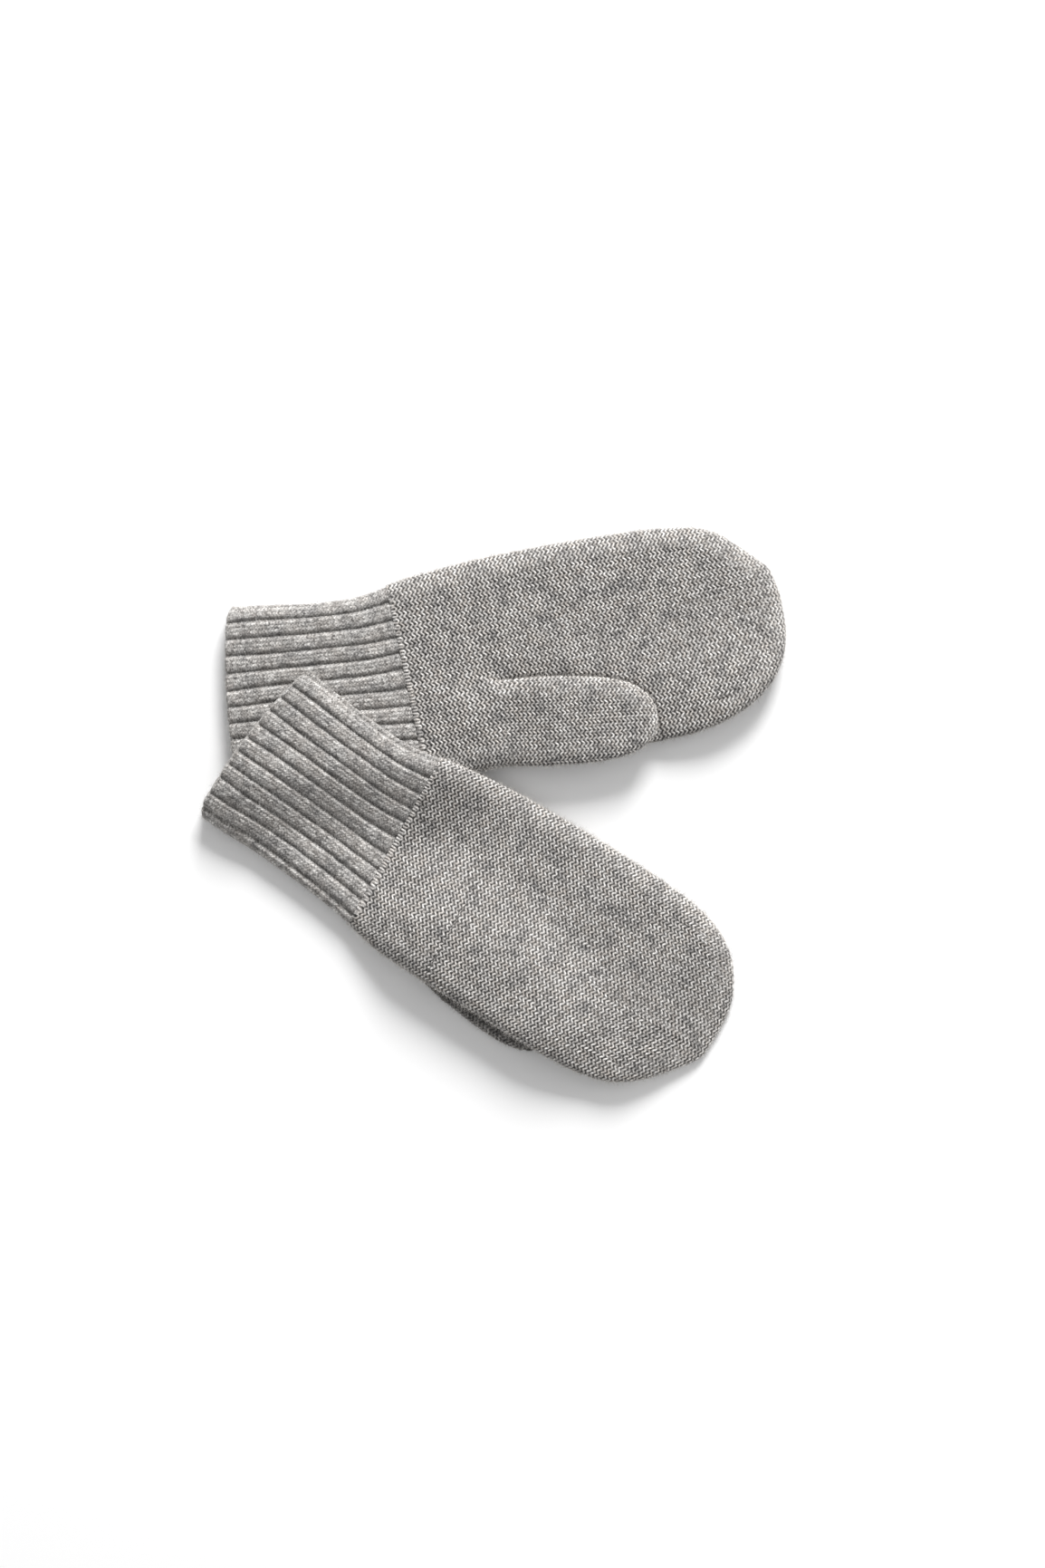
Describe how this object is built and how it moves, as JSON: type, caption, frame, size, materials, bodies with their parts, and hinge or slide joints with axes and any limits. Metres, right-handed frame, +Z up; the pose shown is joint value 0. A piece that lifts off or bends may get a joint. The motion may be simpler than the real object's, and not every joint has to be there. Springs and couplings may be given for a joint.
{
  "type": "pair of baby mittens",
  "caption": "Pair of small knitted mittens with ribbed cuffs and side thumbs, laid flat with one cuff crossing the other, for keeping a young child's hands warm.",
  "frame": {"origin": "bottom centre of the box round both mittens, on the surface that they lie on", "axes": "+Z up from the surface, +X to the right as the pair is seen from above, towards the finger tips of both mittens, +Y up the surface, away from the left-hand mitten"},
  "size_m": [0.1734, 0.1644, 0.0119],
  "materials": {
    "rib_knit": "marled grey wool in two-by-one rib, soft and slightly hairy",
    "hand_knit": "marled grey wool in reverse stocking stitch, soft and slightly hairy"
  },
  "bodies": {
    "root": {"right_cuff": "rib_knit", "right_palm": "hand_knit", "right_back": "hand_knit", "right_thumb": "hand_knit", "left_cuff": "rib_knit", "left_palm": "hand_knit", "left_back": "hand_knit", "left_thumb": "hand_knit"}
  },
  "joints": []
}
